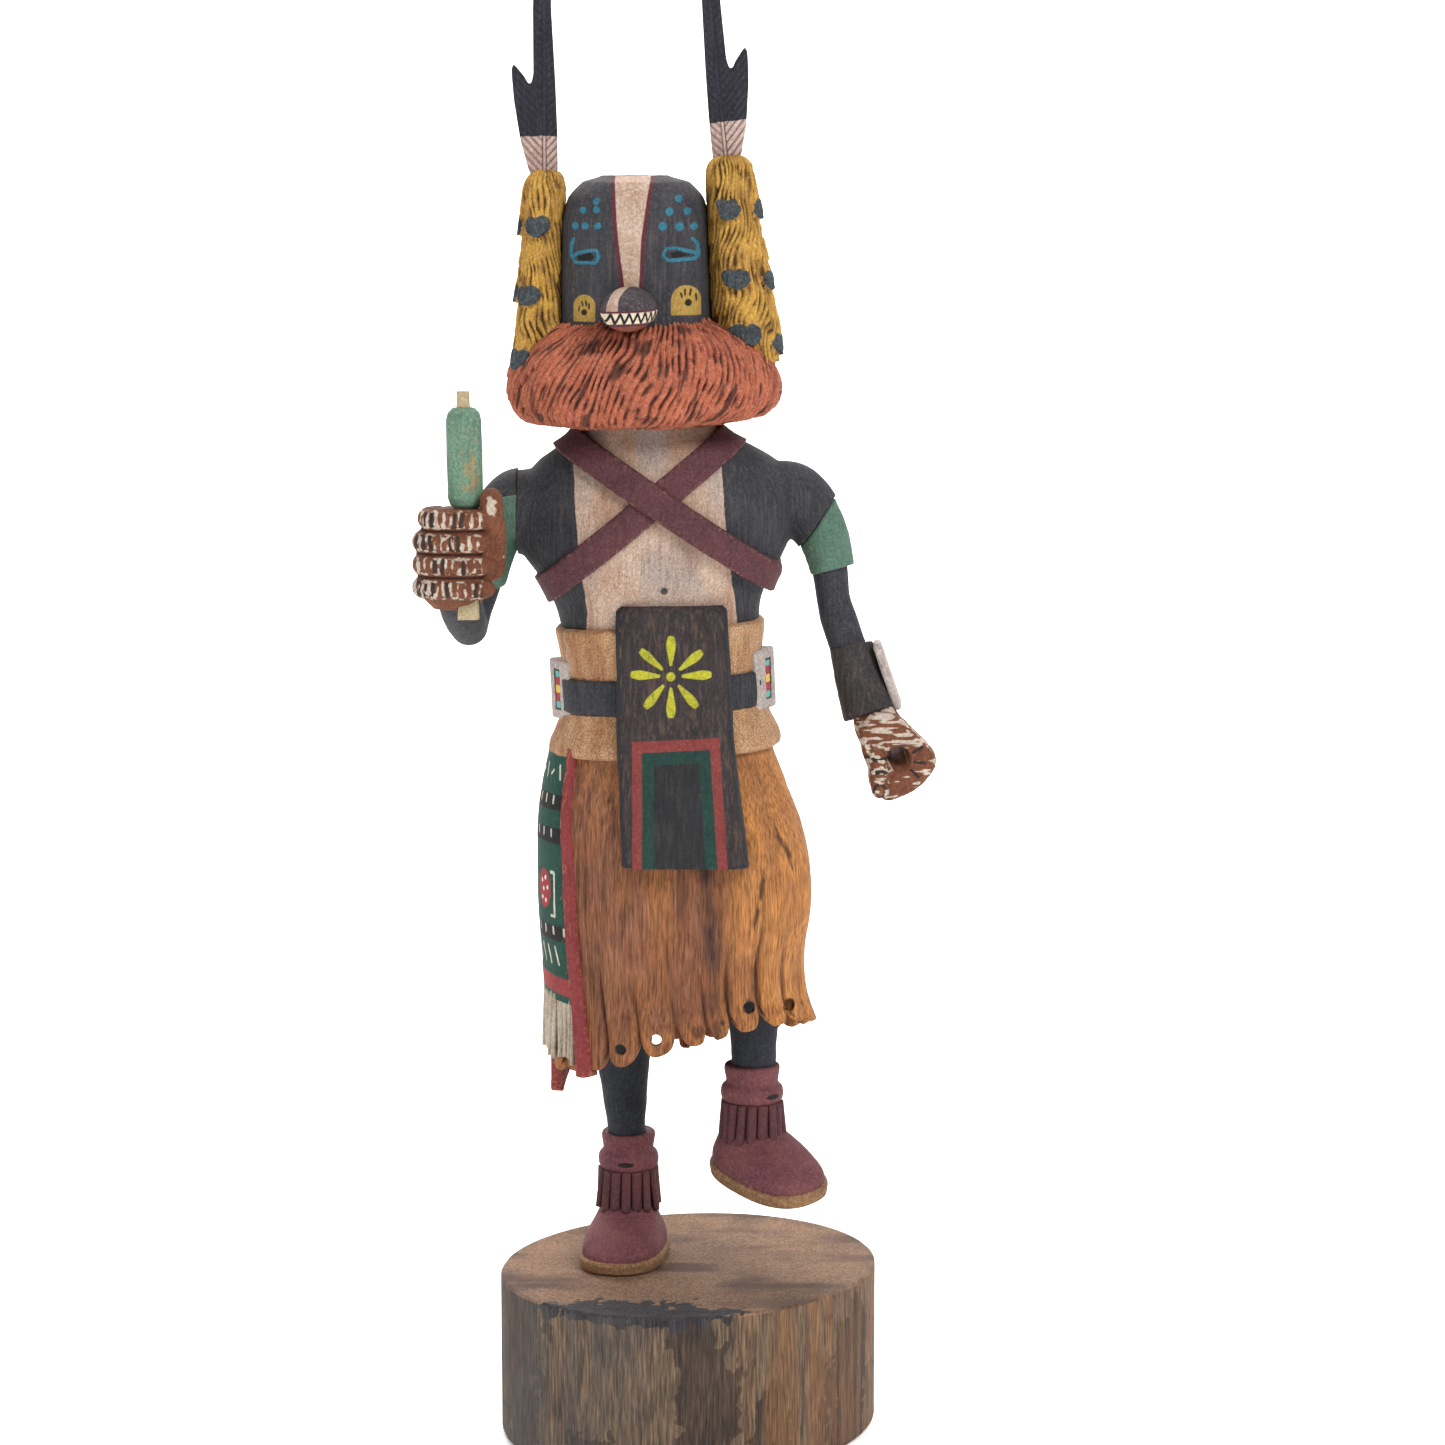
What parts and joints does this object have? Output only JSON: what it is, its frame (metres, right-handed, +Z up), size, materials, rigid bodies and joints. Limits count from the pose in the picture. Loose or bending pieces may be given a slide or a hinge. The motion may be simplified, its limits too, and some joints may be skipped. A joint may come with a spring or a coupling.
{
  "type": "kachina doll",
  "caption": "Carved and painted wooden dancer in a badger mask with tall feathers and a fur ruff, shaking a rattle on one foot on a slice of log.",
  "frame": {"origin": "on the axis of the log base, at its flat underside", "axes": "+Z up the dancer, -Y the way the mask faces, +X to a viewer's right, where the lowered arm is"},
  "size_m": [0.1399, 0.1032, 0.4304],
  "materials": {
    "log_wood": "bare, sawn",
    "dancer_paint": "matt paint",
    "arm_paint": "matt paint",
    "snout_paint": "matt paint",
    "feather_paint": "matt paint",
    "gourd_paint": "matt paint",
    "handle_wood": "bare"
  },
  "bodies": {
    "root": {"log_base": "log_wood", "carved_dancer": "dancer_paint", "skirt_hem": "dancer_paint", "raised_arm": "arm_paint", "lowered_arm": "arm_paint", "badger_snout": "snout_paint", "tall_feather_left": "feather_paint", "tall_feather_right": "feather_paint", "rattle_gourd": "gourd_paint", "rattle_handle": "handle_wood"}
  },
  "joints": []
}
